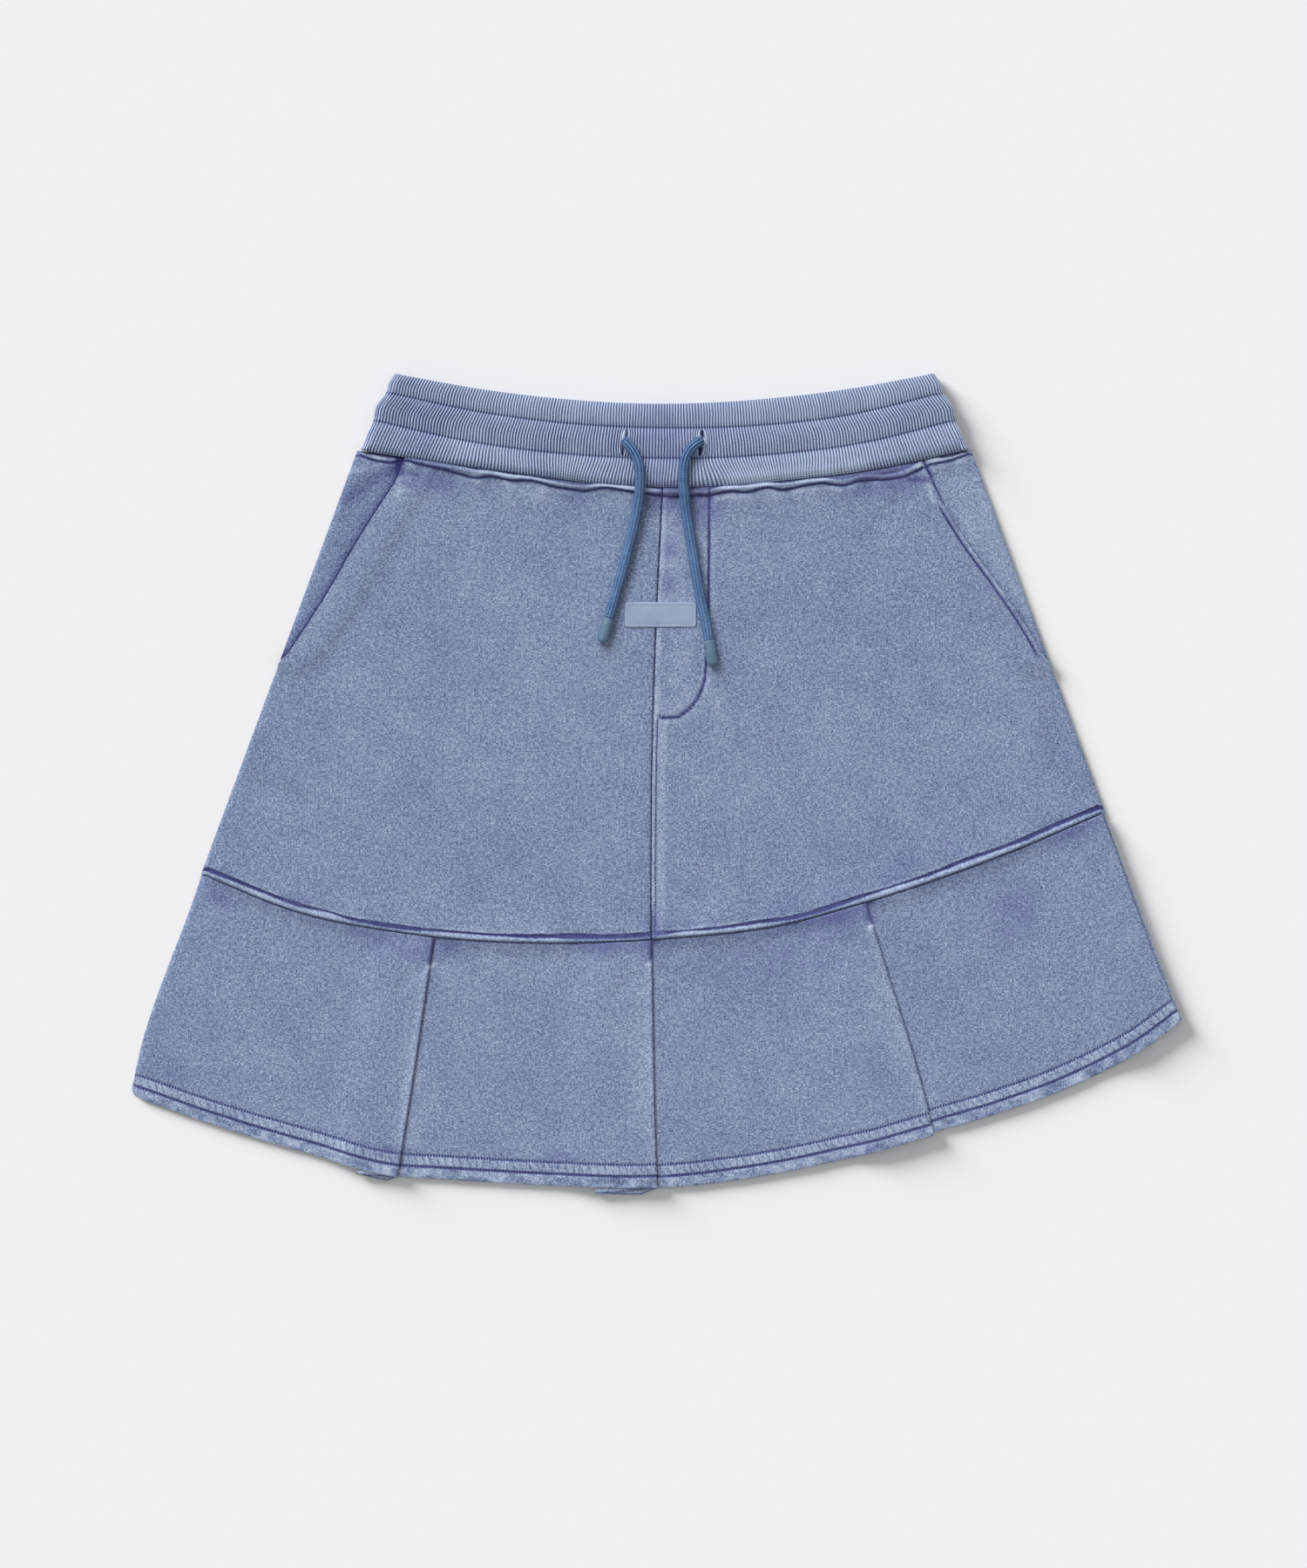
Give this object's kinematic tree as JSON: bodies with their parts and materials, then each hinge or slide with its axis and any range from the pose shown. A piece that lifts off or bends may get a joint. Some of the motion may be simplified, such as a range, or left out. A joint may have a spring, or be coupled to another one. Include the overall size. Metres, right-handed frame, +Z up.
{
  "type": "pleated skirt",
  "caption": "Short pull-on skirt laid flat, with a ribbed drawcord waistband, slash pockets, a mock fly and a flounce in knife pleats.",
  "frame": {"origin": "bottom centre of the flat skirt's bounding box, on the surface that it lies on", "axes": "+X across the skirt, to the right as the front is seen; +Y from hem to waist; +Z up from the surface"},
  "size_m": [0.6032, 0.4704, 0.015],
  "materials": {
    "rib": "ribbed cotton knit, garment washed",
    "fleece": "cotton sweatshirt fleece, garment washed",
    "cord": "knitted cotton cord",
    "tip": "dipped, satin",
    "label": "soft, bare and slightly clear"
  },
  "bodies": {
    "root": {"waistband": "rib", "front_left": "fleece", "front_right": "fleece", "pocket_facing_left": "fleece", "pocket_facing_right": "fleece", "back_panel": "fleece", "flounce_front": "fleece", "flounce_back": "fleece", "label": "label", "drawcord_left": "cord", "drawcord_right": "cord", "cord_tip_left": "tip", "cord_tip_right": "tip"}
  },
  "joints": []
}
